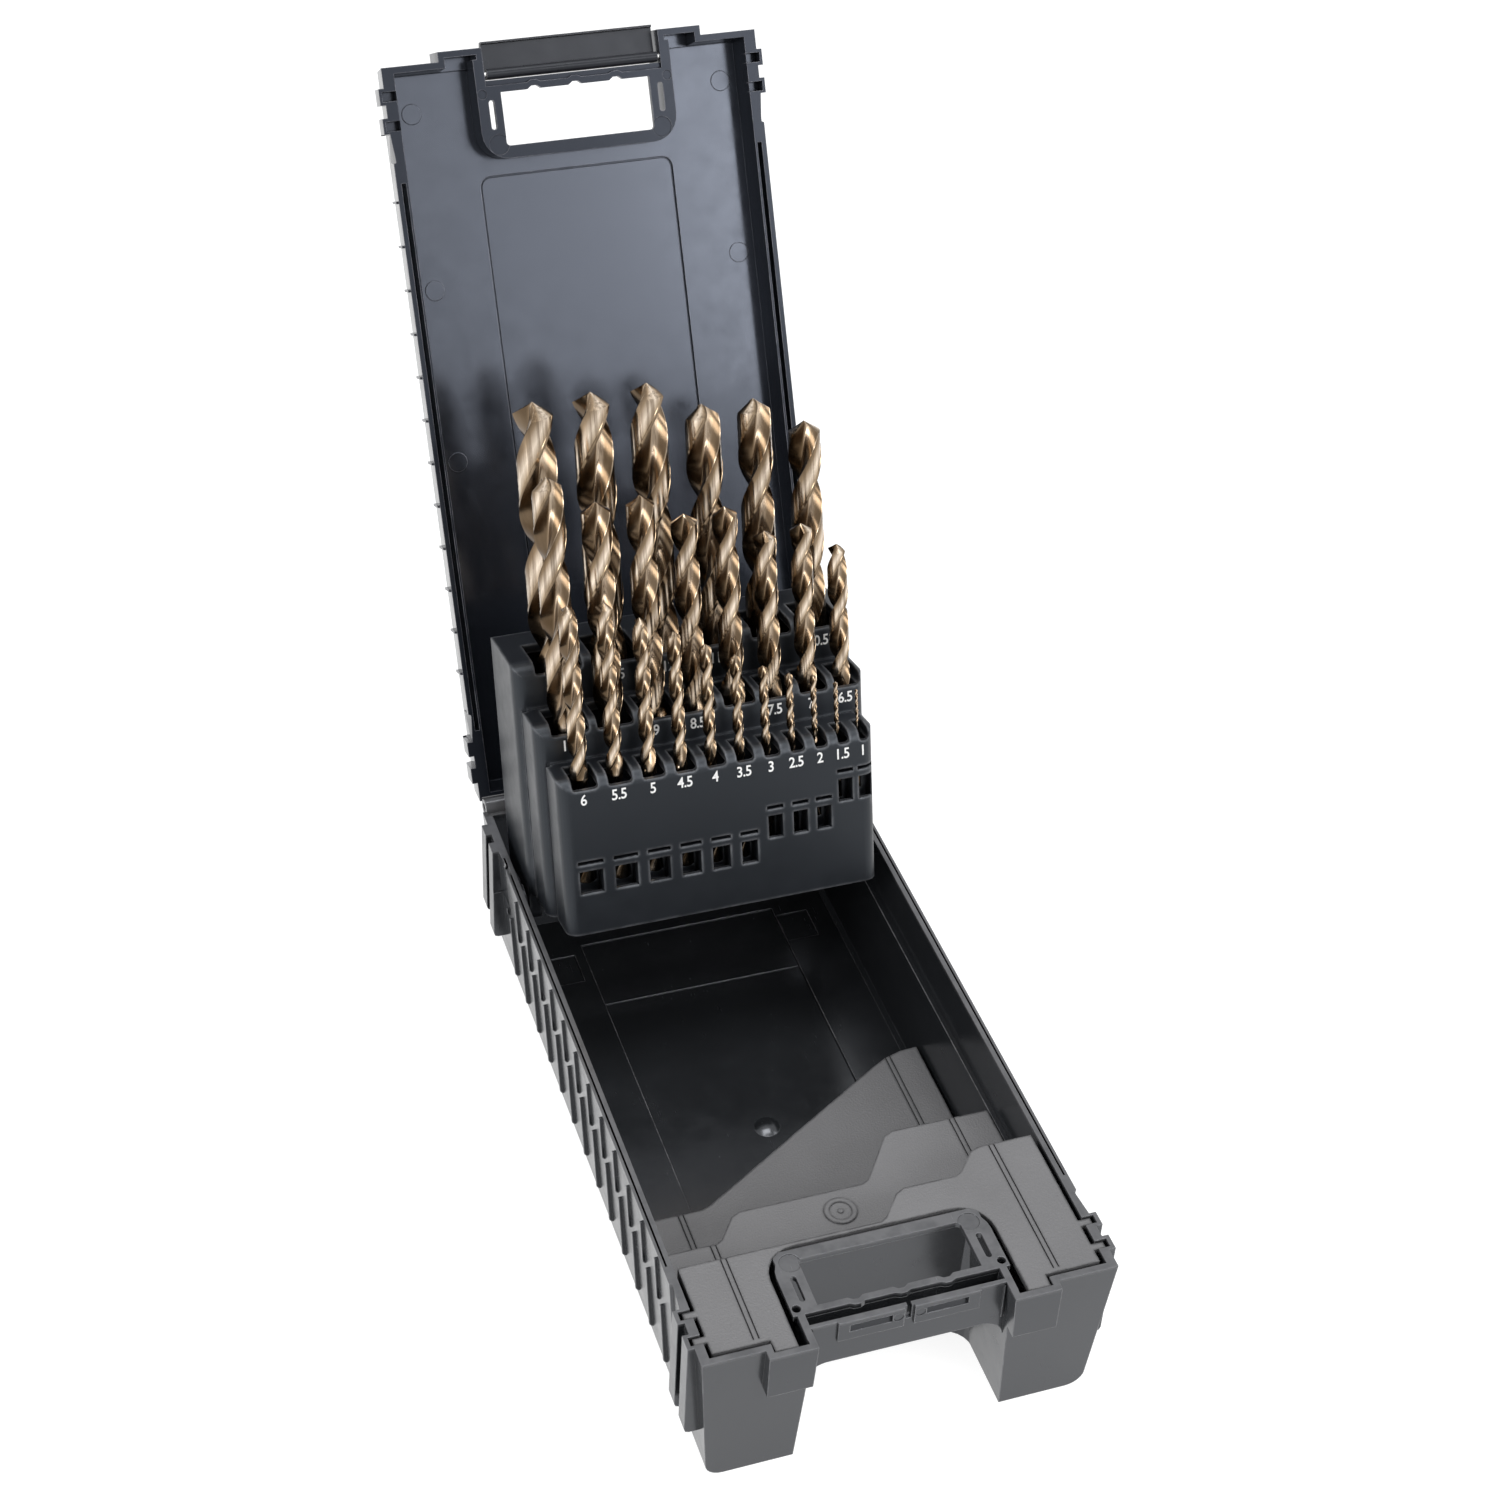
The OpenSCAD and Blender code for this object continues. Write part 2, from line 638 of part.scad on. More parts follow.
// The walls draw in towards the floor, so the risers do as well
module insert_relief() {
    low = insert_half[0];
    for (s = [-1, 1])
        along_y(front_y, 20)
            polygon([[s * (low - corner_cut), 0], [s * (low - corner_cut), floor_t],
                     [s * low, floor_t + corner_cut], [s * low, step_z[0]],
                     [s * insert_half[1], ledge_z - 2], [s * insert_half[1], ledge_z + 0.5],
                     [s * half_w, ledge_z + 0.5], [s * half_w, 0]]);
}

module insert_tabs() {
    for (s = [-1, 1], i = [0, 1]) {
        y = post_ys(-1)[i];
        x0 = insert_half[2] - 1;
        x1 = half_w - 0.4;
        box(min(s * x0, s * x1), max(s * x0, s * x1), y - 1.1, y + 1.1,
            step_z[2] - insert_t, step_z[2]);
    }
    for (s = [-1, 1])
        box(min(s * (bay_w / 2 + wall + 0.5), s * (bay_w / 2 + shoulder_w - wall - 0.5)),
            max(s * (bay_w / 2 + wall + 0.5), s * (bay_w / 2 + shoulder_w - wall - 0.5)),
            front_y - shoulder_out + wall + 0.5, insert_front + 1, step_z[2] - insert_t, step_z[2]);
}

// ---------- lid ----------

// Turns what is drawn closed about the hinge, to the open place
module opened() {
    translate([0, hinge_y, hinge_z]) rotate([-lid_angle, 0, 0])
        translate([0, -hinge_y, -hinge_z]) children();
}

module lid_outer() {
    drafted(half_w, half_w - lid_draft, front_y, half_l, front_y + 0.8, half_l - 0.8,
            lid_z0, lid_z1);
}

module lid_cavity() {
    drafted(half_w - lid_rim_w, half_w - lid_rim_w - 0.6, front_y + wall, half_l - wall - 0.4,
            front_y + wall + 1, half_l - wall - 1.6, lid_z0 - 1, lid_z1 - wall);
    // recessed panel in the inside of the lid, with a fine groove round it
    translate([0, 0, lid_z1 - wall - 0.5]) linear_extrude(1.2) lid_panel(-0.6, 3);
    translate([0, 0, lid_z1 - wall - 0.5]) linear_extrude(1.5) difference() {
        lid_panel(0, 3.6);
        lid_panel(-0.6, 3);
    }
}

module lid_panel(grow, r) {
    x = 32.6 + grow;
    y0 = front_y + 37 - grow;
    y1 = half_l - 9 + grow;
    polygon(concat(arc(x - r, y0 + r, r, 270, 360), arc(x - r, y1 - r, r, 0, 90),
                   arc(-x + r, y1 - r, r, 90, 180), arc(-x + r, y0 + r, r, 180, 270)));
}

// Wall of the handle bay in the lid, upright and as wide as the plate
module lid_bay_wall() {
    translate([0, 0, lid_z0]) linear_extrude(lid_d - 0.2) handle_outline(0, front_y + 0.4);
}

module lid_bay_void() {
    translate([0, 0, lid_z0 + plate_t]) linear_extrude(lid_d) intersection() {
        handle_outline(-wall, front_y - 6);
        translate([-bay_w / 2, front_y - 6]) square([bay_w, plate_front + plate_l + 7]);
    }
    translate([0, 0, lid_z0 - 1]) linear_extrude(lid_d + 2) difference() {
        translate([-bay_w / 2, front_y - 5]) square([bay_w, plate_front + 5]);
        finger_rests(front_y + plate_front, rest_depth - 0.3);
    }
}

module lid_posts() {
    for (s = [-1, 1], e = [-1, 1], i = [0, 1]) {
        y = post_ys(e)[i];
        x0 = half_w - 2;
        x1 = half_w + post_out - 0.3;
        along_y(y - post_w / 2, y + post_w / 2)
            polygon([[s * x0, lid_z0], [s * x1, lid_z0], [s * (x1 - 0.8), lid_z1 - 3],
                     [s * (half_w - lid_draft - 0.4), lid_z1 - 1.5], [s * x0, lid_z1 - 1.5]]);
    }
}

disc_pitch = 0.235 * case_l; // low round discs along both sides of the lid's inside
pin_reach = 1.6; // how far the latch pin goes into each cheek
module lid_shell() {
    color([0.1, 0.1, 0.11]) opened() {
        difference() {
            union() {
                difference() {
                    union() {
                        lid_outer();
                        lid_posts();
                        shoulders(lid_z0, lid_z1 - 1);
                        for (s = [-1, 1]) translate([s * (half_w - 0.5), 0, 0])
                            side_ribs(s, lid_z0 + 2.4, lid_z1 - 4, rib_y);
                    }
                    lid_cavity();
                    shoulder_pockets(lid_z0 - 1, lid_z1 - wall - 1);
                }
                lid_bay_wall();
                plate(lid_z0, front_y + plate_front);
                knuckles(lid_knuckles, 0);
                for (s = [-1, 1], i = [0:2])
                    translate([s * (half_w - 10), front_y + 15 + i * disc_pitch, lid_z1 - wall - 0.3])
                        cylinder(r = mark_r, h = 1);
            }
            lid_bay_void();
            translate([0, 0, lid_z0 - 1]) linear_extrude(plate_t + 2) plate_cuts();
            plate_marks(lid_z0 - 1, lid_z0 + 0.25);
            plate_corners(1.5, lid_z0 - 1, lid_z0 + 0.25);
            for (s = [-1, 1]) translate([s * half_w, 0, 0])
                side_scoops(s, lid_z0 - 1, lid_z1 - 3, scoop);
            rim_grooves(half_w - 2.35, channel_w, lid_z0 - 1, lid_z0 + channel_d);
            post_notches(lid_z0 - 1, lid_z0 + 5);
            knuckles(base_knuckles, 0.3);
            hinge_bores();
            translate([0, latch_y, latch_z]) rotate([0, 90, 0])
                cylinder(r = latch_pin_r + run_gap, h = bay_w + 2 * pin_reach + 0.4, center = true);
        }
        grip_rib(front_y + plate_front - 1.75, front_y + plate_front + 0.2,
                 lid_z0 + 1.2, lid_z0 + 10.2);
    }
}

module hinge_pin(side) {
    color([0.6, 0.6, 0.62]) translate([side * pin_end, hinge_y, hinge_z])
        rotate([0, side * 90, 0]) cylinder(r = hinge_pin_r, h = hinge_pin_l);
}

// ---------- latch ----------

module latch_pin() {
    color([0.6, 0.6, 0.62]) opened() translate([0, latch_y, latch_z]) rotate([0, 90, 0])
        cylinder(r = latch_pin_r, h = bay_w + 2 * pin_reach, center = true);
}

// The locked flap hangs in front of the latch bar, and the lip along its foot
// reaches under the raised frames of the bar. It is drawn in that place.
module flap_closed() {
    inner = front_y + bar_set - frame_out - 0.4;
    outer = inner - flap_t;
    hold = window_z - frame_rim + 0.4 - flap_play;
    foot = hold - 0.6;
    top = latch_z + barrel_r;
    difference() {
        union() {
            translate([0, latch_y, latch_z]) rotate([0, 90, 0])
                cylinder(r = barrel_r, h = flap_w, center = true);
            along_x(-flap_w / 2, flap_w / 2)
                polygon([[latch_y, top], [outer + 1, top], [outer, top - 1],
                         [outer, foot + 1], [outer + 0.6, foot],
                         [inner + 1, foot], [inner + 1, hold], [inner, hold + 0.2],
                         [inner, lid_z0 + 0.3], [latch_y, lid_z0 + 0.3]]);
        }
        translate([0, latch_y, latch_z]) rotate([0, 90, 0])
            cylinder(r = latch_pin_r + run_gap, h = flap_w + 1, center = true);
    }
}

module latch_flap() {
    color([0.15, 0.15, 0.16]) opened() translate([0, latch_y, latch_z]) rotate([-flap_rest, 0, 0])
        translate([0, -latch_y, -latch_z]) flap_closed();
}

// ---------- drill holder ----------

// The holder's own frame: origin at the foot of its front face, Y to the rear,
// Z along the drills
module standing() {
    translate([0, open_foot[0], open_foot[1]]) rotate([-lean, 0, 0]) children();
}

module tier(i) {
    y0 = tier_front[i];
    y1 = i < 2 ? tier_front[i + 1] + 2 : holder_d;
    h = tier_h[i];
    a = tier_half[i];
    round = tier_top_r;
    intersection() {
        along_x(-a, a)
            polygon(concat([[y1, 0], [y1, h], [y0 + round, h]],
                           arc(y0 + round, h - round, round, 90, 180, 5), [[y0, 0]]));
        linear_extrude(h + 1)
            polygon(concat([[a, y1], [-a, y1]],
                           arc(-a + tier_r, y0 + tier_r, tier_r, 180, 270),
                           arc(a - tier_r, y0 + tier_r, tier_r, 270, 360)));
    }
}

// Hollow above the sockets, and the groove beside the next tier
module tier_hollow(i) {
    y0 = tier_front[i] + wall;
    y1 = i < 2 ? tier_front[i + 1] : holder_d - wall;
    a = tier_half[i] - wall;
    box(-a, a, y0, y1, socket_h[i], tier_h[i] - 3);
}

module tier_groove(i) {
    y = tier_front[i + 1] - 1.4;
    a = tier_half[i];
    for (s = [-1, 1]) {
        box(min(s * (a - 1.6), s * (a + 1)), max(s * (a - 1.6), s * (a + 1)), y, y + 1.6,
            -1, tier_h[i] + 1);
        box(min(s * (a - 6), s * (a + 1)), max(s * (a - 6), s * (a + 1)), y, y + 1.4, 17, 31);
    }
}

module pockets(r) {
    row = ROWS[r];
    y = tier_front[r] + row_set[r];
    for (i = [0:len(row) - 1]) {
        x = drill_x(r, i);
        d = row[i][0] + pocket_gap;
        translate([x, y, row[i][3]]) cylinder(d = d, h = tier_h[r]);
        notch = row[i][0] + notch_gap;
        foot = tier_h[r] - notch_h;
        round = min(notch / 2 - 0.1, 1.2);
        translate([x, 0, 0]) along_y(tier_front[r] - 1, y + row[i][0] / 2 + 1.4)
            polygon(concat([[notch / 2, tier_h[r] + 1], [-notch / 2, tier_h[r] + 1]],
                           arc(-notch / 2 + round, foot + round, round, 180, 270, 4),
                           arc(notch / 2 - round, foot + round, round, 270, 360, 4)));
    }
}

// Windows in the front face that show the drills' shank ends
function window_foot(size) = size >= 3.5 ? 14.3 : size >= 2 ? 21.7 : 30;
module shank_windows() {
    for (i = [0:len(ROW1) - 1]) {
        x = drill_x(0, i);
        w = min(7.7, max(4.9, ROW1[i][0] + 1.9));
        z = window_foot(ROW1[i][0]);
        box(x - w / 2, x + w / 2, -1, 2, z, z + 7.9);
        // the hollow behind the thin front wall reaches lower
        box(x - w / 2, x + w / 2, 1.6, row_set[0] - 0.6, z - 2.5, z + 7.9);
        box(x - w / 2 - 0.3, x + w / 2 + 0.3, -1, row_set[0] - 0.6, z + 10.1, z + 11.4);
    }
}

module holder_lugs() {
    for (s = [-1, 1]) {
        x0 = tier_half[2] - 4;
        along_x(min(s * x0, s * tier_half[2]), max(s * x0, s * tier_half[2]))
            polygon(concat([[pivot_a + lug_r, 3], [pivot_a - lug_r, 3]],
                           arc(pivot_a, pivot_b, lug_r, 180, 360, 12)));
        translate([s * (tier_half[2] + 1.1), pivot_a, pivot_b]) rotate([0, 90, 0])
            cylinder(r = stud_r, h = 2.6, center = true);
    }
}

module drill_holder() {
    color([0.11, 0.11, 0.12]) standing() difference() {
        union() {
            for (i = [0:2]) tier(i);
            holder_lugs();
        }
        for (i = [0:2]) tier_hollow(i);
        for (i = [0:1]) tier_groove(i);
        for (r = [0:2]) pockets(r);
        shank_windows();
    }
}

// ---------- drills ----------

module drill(r, i) {
    size = ROWS[r][i][0];
    length = ROWS[r][i][1];
    flute = ROWS[r][i][2];
    body = size / 2;
    tip = body / tan(59);
    color([0.62, 0.52, 0.38]) standing()
        translate([drill_x(r, i), tier_front[r] + row_set[r], ROWS[r][i][3] + seat_gap])
            rotate_extrude()
                polygon([[0, 0], [body * 0.84, 0], [body, body * 0.16],
                         [body, length - flute - body], [body * 0.98, length - flute],
                         [body, length - flute + body], [body, length - tip], [0, length]]);
}

base_shell();
drill_stop_insert();
lid_shell();
hinge_pin(-1);  // hinge_pin_left
hinge_pin(1);  // hinge_pin_right
latch_flap();
latch_pin();
drill_holder();
for (r = [0:2], i = [0:len(ROWS[r]) - 1])
    drill(r, i);
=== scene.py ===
"""A moulded drill bit case, standing open on a white table, with 25 twist drills.

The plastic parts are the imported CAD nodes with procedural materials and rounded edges. The
twist drills, with their flutes and points, and the printed sizes are built here. Lengths are
in metres, or in millimetres where they are multiplied by MM.
"""

import math

import bpy
import numpy as np
from mathutils import Matrix, Vector


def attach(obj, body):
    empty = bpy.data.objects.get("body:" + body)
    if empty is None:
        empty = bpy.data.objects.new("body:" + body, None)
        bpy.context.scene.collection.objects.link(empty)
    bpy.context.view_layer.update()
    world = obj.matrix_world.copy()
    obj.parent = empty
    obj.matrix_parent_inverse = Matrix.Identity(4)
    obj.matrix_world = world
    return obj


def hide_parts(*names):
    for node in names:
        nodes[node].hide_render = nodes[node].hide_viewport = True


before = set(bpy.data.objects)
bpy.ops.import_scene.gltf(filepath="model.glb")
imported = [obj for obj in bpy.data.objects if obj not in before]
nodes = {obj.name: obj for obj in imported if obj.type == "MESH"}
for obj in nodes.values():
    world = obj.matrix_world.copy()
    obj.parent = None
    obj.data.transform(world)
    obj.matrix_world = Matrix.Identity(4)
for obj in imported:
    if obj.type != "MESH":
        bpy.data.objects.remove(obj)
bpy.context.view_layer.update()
scene = bpy.context.scene
scene.view_settings.view_transform = "Standard"

MM = 0.001

# ---------------------------------------------------------------- places from the CAD

# the standing holder leans back on its foot; drills and labels are placed in its own frame
LEAN = math.radians(15.3)
HOLDER_FOOT = Vector((0, 48.86, 57.54)) * MM
STANDING = Matrix.Translation(HOLDER_FOOT) @ Matrix.Rotation(-LEAN, 4, "X")

# size and flute length of each drill, tier by tier from the front, in millimetres
TIERS = [
    [(6, 57), (5.5, 57), (5, 52), (4.5, 47), (4, 43), (3.5, 39), (3, 33), (2.5, 30),
     (2, 24), (1.5, 18), (1, 12)],
    [(10, 87), (9.5, 81), (9, 81), (8.5, 75), (8, 75), (7.5, 69), (7, 69), (6.5, 63)],
    [(13, 101), (12.5, 101), (12, 101), (11.5, 94), (11, 94), (10.5, 87)],
]

# the open lid's inside faces this way, and its rim lies in a plane through the hinge
LID_FACING = (0.0, -0.886, 0.464)
HINGE = (0.0, 0.1218, 0.0536)
LID_RIM = sum(a * b for a, b in zip(HINGE, LID_FACING))


def drill_name(size):
    """The size in a drill's name: 5.5 gives 5_5."""
    return "%d_%d" % (int(size), round(size % 1 * 10))


# ---------------------------------------------------------------- camera

CAMERA_PLACE = Vector((-0.2267, -0.5681, 0.6616))
AZIMUTH, ELEVATION, ROLL = (math.radians(a) for a in (-20.595, 39.319, 3.239))
LENS, SENSOR = 66.86, 36


def make_camera():
    data = bpy.data.cameras.new("camera")
    data.lens = LENS
    data.sensor_width = SENSOR
    data.clip_start = 0.01
    data.clip_end = 20
    camera = bpy.data.objects.new("camera", data)
    scene.collection.objects.link(camera)
    right = Vector((math.cos(AZIMUTH), math.sin(AZIMUTH), 0))
    back = Vector((math.sin(AZIMUTH) * math.cos(ELEVATION),
                   -math.cos(AZIMUTH) * math.cos(ELEVATION), math.sin(ELEVATION)))
    up = back.cross(right)
    x = right * math.cos(ROLL) + up * math.sin(ROLL)
    y = -right * math.sin(ROLL) + up * math.cos(ROLL)
    camera.matrix_world = Matrix((
        (x.x, y.x, back.x, CAMERA_PLACE.x),
        (x.y, y.y, back.y, CAMERA_PLACE.y),
        (x.z, y.z, back.z, CAMERA_PLACE.z),
        (0, 0, 0, 1)))
    scene.camera = camera


make_camera()

# ---------------------------------------------------------------- material helpers


class Nodes:
    """A small helper that adds nodes to a material or world and joins them."""

    def __init__(self, owner):
        owner.use_nodes = True
        self.tree = owner.node_tree
        self.tree.nodes.clear()

    def add(self, kind, settings=None, **inputs):
        """A node with its settings; each input is a value or a socket to join."""
        node = self.tree.nodes.new(kind)
        for key, value in (settings or {}).items():
            setattr(node, key, value)
        for key, value in inputs.items():
            self.put(node, key.replace("_", " "), value)
        return node

    def put(self, node, key, value):
        socket = node.inputs[key]
        if isinstance(value, bpy.types.NodeSocket):
            self.tree.links.new(value, socket)
        else:
            socket.default_value = value

    def math(self, operation, a, b, clamp=False):
        node = self.add("ShaderNodeMath", {"operation": operation, "use_clamp": clamp})
        self.put(node, 0, a)
        self.put(node, 1, b)
        return node.outputs[0]

    def dot(self, a, b):
        node = self.add("ShaderNodeVectorMath", {"operation": "DOT_PRODUCT"})
        self.put(node, 0, a)
        self.put(node, 1, b)
        return node.outputs["Value"]

    def ramp(self, value, low, high, to_low, to_high):
        """Value from low to high turned into to_low to to_high, and flat beyond them."""
        node = self.add("ShaderNodeMapRange", {"clamp": True})
        for key, v in zip(("Value", "From Min", "From Max", "To Min", "To Max"),
                          (value, low, high, to_low, to_high)):
            self.put(node, key, v)
        return node.outputs["Result"]

    def noise(self, where, scale, detail=2.0, roughness=0.5):
        node = self.add("ShaderNodeTexNoise", Vector=where, Scale=scale, Detail=detail,
                        Roughness=roughness)
        return node.outputs["Fac"]

    def mix(self, factor, a, b):
        node = self.add("ShaderNodeMix", {"data_type": "RGBA"})
        self.put(node, 0, factor)
        self.put(node, 6, a)
        self.put(node, 7, b)
        return node.outputs[2]

    def attribute(self, name):
        return self.add("ShaderNodeAttribute", {"attribute_name": name}).outputs["Fac"]

    def stretch(self, where, scale):
        return self.add("ShaderNodeMapping", Vector=where, Scale=scale).outputs[0]

    def seen(self):
        """1 for rays that show the background, straight or mirrored or through something."""
        path = self.add("ShaderNodeLightPath").outputs
        direct = self.math("ADD", path["Is Camera Ray"], path["Is Glossy Ray"])
        return self.math("ADD", direct, path["Is Transmission Ray"], clamp=True)

    def output(self, kind, shader):
        out = self.add(kind)
        self.tree.links.new(shader.outputs[0], out.inputs[0])


def start_material(name):
    """A new material, its nodes, and the place on the piece, which rides with it."""
    material = bpy.data.materials.new(name)
    n = Nodes(material)
    return material, n, n.add("ShaderNodeTexCoord").outputs["Object"]


def rgb(value):
    """A grey or a colour given as 0 to 1, linear, as RGBA."""
    if isinstance(value, (int, float)):
        value = (value, value, value)
    return (*value, 1.0)


def scaled(colour, factor):
    return rgb(tuple(c * factor for c in colour))


# ---------------------------------------------------------------- plastic

# share of the plain colour left in a crease's painted shade, and in the larger patches
CREASE_SHADE_SHARE, PATCH_TINT = 0.15, 1.2
# how far the occlusion looks for creases, which get painted shade
CREASE_SHADE_REACH = 0.0009
# the lid's gloss falls to a share of itself between two depths behind its rim
DULL_OVER = (LID_RIM - 0.0085, LID_RIM - 0.003)
DULL_GLOSS = 0.3
# the tray's rim top is painted paler as a highlight: the heights where that begins and is full
RIM_HIGHLIGHT_OVER = (0.0535 - 0.0012, 0.0535)
RIM_HIGHLIGHT_TINT = (0.085, 0.085, 0.088)


def plastic(name, colour, edge_wear_and_light_colour, gloss, roughness, grain, grain_size, smudge,
            edge=0.0003, tone=(1.0, 1.0, 1.0), dull_rim=False, painted_rim_highlight=False):
    """Moulded plastic: mould grain, uneven gloss, rub marks, edges worn and painted pale as a
    highlight (dark as painted shade on the grey insert), and painted shade in creases.

    The argument after colour is the colour of the edges: pale as wear and a painted highlight,
    dark as painted shade on the grey insert. gloss is the specular level, grain and grain_size
    the mould grain's strength and width, smudge how much the roughness varies, edge the radius
    of the rounded edges, and tone the tint of reflections. dull_rim is for the lid; the last
    flag is for the tray, whose rim top is painted paler as a highlight.
    """
    material, n, where = start_material(name)
    stretched = n.stretch(where, (1.0, 0.08, 0.08))
    large = n.noise(where, 26.0, 3.0)
    cloud = n.noise(where, 140.0, 3.0, 0.6)
    fine = n.noise(where, 1.0 / grain_size, 2.0, 0.55)
    rub = n.noise(stretched, 2600.0, 1.0)
    open_sky = n.add("ShaderNodeAmbientOcclusion", {"samples": 6, "only_local": True},
                     Distance=CREASE_SHADE_REACH).outputs["AO"]
    # creases found by the occlusion are painted dark: painted shade
    crease_shade = n.ramp(open_sky, 0.3, 0.72, 0.0, 1.0)

    # pale wear with a painted highlight, or on the grey insert a painted dark line, follows the
    # convex edges: where a wide bevel bends the normal
    bevel = n.add("ShaderNodeBevel", {"samples": 6}, Radius=edge * 1.5).outputs[0]
    plain = n.add("ShaderNodeNewGeometry").outputs["Normal"]
    edge_wear_and_light = n.ramp(n.dot(bevel, plain), 0.985, 0.8, 0.0, 1.0)
    edge_wear_and_light = n.math("MULTIPLY", edge_wear_and_light, n.ramp(cloud, 0.38, 0.6, 0.35, 1.0))
    edge_wear_and_light = n.math("MULTIPLY", edge_wear_and_light, n.ramp(open_sky, 0.8, 0.97, 0.0, 1.0))

    tint = n.mix(n.ramp(large, 0.3, 0.7, 0.0, 1.0), rgb(colour), scaled(colour, PATCH_TINT))
    # the edges take their colour: pale wear and painted highlight on the black parts, painted
    # shade on the grey insert
    tint = n.mix(edge_wear_and_light, tint, rgb(edge_wear_and_light_colour))
    # painted highlight: a paler band along the top of the tray's rim, patchy with the cloud
    if painted_rim_highlight:
        up = n.add("ShaderNodeSeparateXYZ", Vector=where).outputs["Z"]
        rim_highlight = n.math("MULTIPLY", n.ramp(up, *RIM_HIGHLIGHT_OVER, 0.0, 1.0),
                        n.ramp(cloud, 0.35, 0.6, 0.6, 1.0))
        tint = n.mix(rim_highlight, tint, rgb(RIM_HIGHLIGHT_TINT))
    # painted shade: the colour darkens in creases
    tint = n.mix(crease_shade, scaled(colour, CREASE_SHADE_SHARE), tint)

    shade = n.math("ADD", n.ramp(large, 0.3, 0.7, -smudge, smudge),
                   n.ramp(cloud, 0.35, 0.7, roughness - 0.03, roughness + 0.04))
    shade = n.math("ADD", shade, n.ramp(rub, 0.64, 0.78, 0.0, 0.04))

    height = n.math("ADD", fine, n.math("MULTIPLY", rub, 0.05))
    rounded = n.add("ShaderNodeBevel", {"samples": 4}, Radius=edge).outputs[0]
    bump = n.add("ShaderNodeBump", Strength=grain, Distance=grain_size * 0.35, Height=height,
                 Normal=rounded).outputs[0]

    # the gloss is also taken out in creases: painted shade on the reflections
    shine = crease_shade
    if dull_rim:
        # the lid's raised rim and handle are duller than the panel behind them
        shine = n.math("MULTIPLY", shine,
                       n.ramp(n.dot(where, LID_FACING), *DULL_OVER, 1.0, DULL_GLOSS))
    shader = n.add("ShaderNodeBsdfPrincipled", Base_Color=tint, Roughness=shade, Normal=bump,
                   Specular_IOR_Level=n.math("MULTIPLY", shine, gloss),
                   Specular_Tint=rgb(tone))
    n.output("ShaderNodeOutputMaterial", shader)
    return material


shell_black = plastic(
    "shell_black", (0.012, 0.013, 0.0145), (0.24, 0.24, 0.25), gloss=0.74, roughness=0.22,
    grain=0.03, grain_size=0.0005, smudge=0.02, edge=0.00045, tone=(0.90, 0.93, 1.0),
    painted_rim_highlight=True)
lid_black = plastic(
    "lid_black", (0.009, 0.0105, 0.014), (0.20, 0.20, 0.22), gloss=0.56, roughness=0.17,
    grain=0.03, grain_size=0.0005, smudge=0.02, tone=(0.76, 0.83, 1.0), dull_rim=True)
holder_black = plastic(
    "holder_black", (0.007, 0.008, 0.010), (0.14, 0.145, 0.155), gloss=0.42, roughness=0.36,
    grain=0.05, grain_size=0.0006, smudge=0.01, edge=0.0012, tone=(0.84, 0.91, 1.0))
# its edges are painted dark: painted shade along the step edges
insert_grey = plastic(
    "insert_grey", (0.118, 0.118, 0.122), (0.022, 0.022, 0.024), gloss=0.40, roughness=0.44,
    grain=1.0, grain_size=0.0006, smudge=0.03, edge=0.0010)
latch_grey = plastic(
    "latch_grey", (0.014, 0.015, 0.018), (0.16, 0.16, 0.17), gloss=0.20, roughness=0.30,
    grain=0.06, grain_size=0.0005, smudge=0.02, tone=(0.90, 0.93, 1.0))

# ---------------------------------------------------------------- steel and ink

# place across a land and its flute, 0 to 1, and the colour there: the steel's bronze tint with
# painted reflections, bright highlight bands and dark bands
TINT_AND_REFLECTION_BANDS = [
    (0.0, (0.10, 0.066, 0.037)), (0.08, (0.24, 0.17, 0.105)), (0.24, (0.82, 0.70, 0.57)),
    (0.36, (0.38, 0.285, 0.19)), (0.43, (0.08, 0.052, 0.028)), (0.53, (0.07, 0.045, 0.024)),
    (0.66, (0.18, 0.125, 0.075)), (0.80, (0.58, 0.465, 0.35)), (0.92, (0.16, 0.11, 0.066)),
    (1.0, (0.10, 0.066, 0.037)),
]
# colour of the dark streaks along the drill: painted reflections
REFLECTION_STREAK_TINT = (0.10, 0.065, 0.037)
PALE_TINT = (0.50, 0.385, 0.27)
BROWN_TINT = (0.22, 0.15, 0.09)


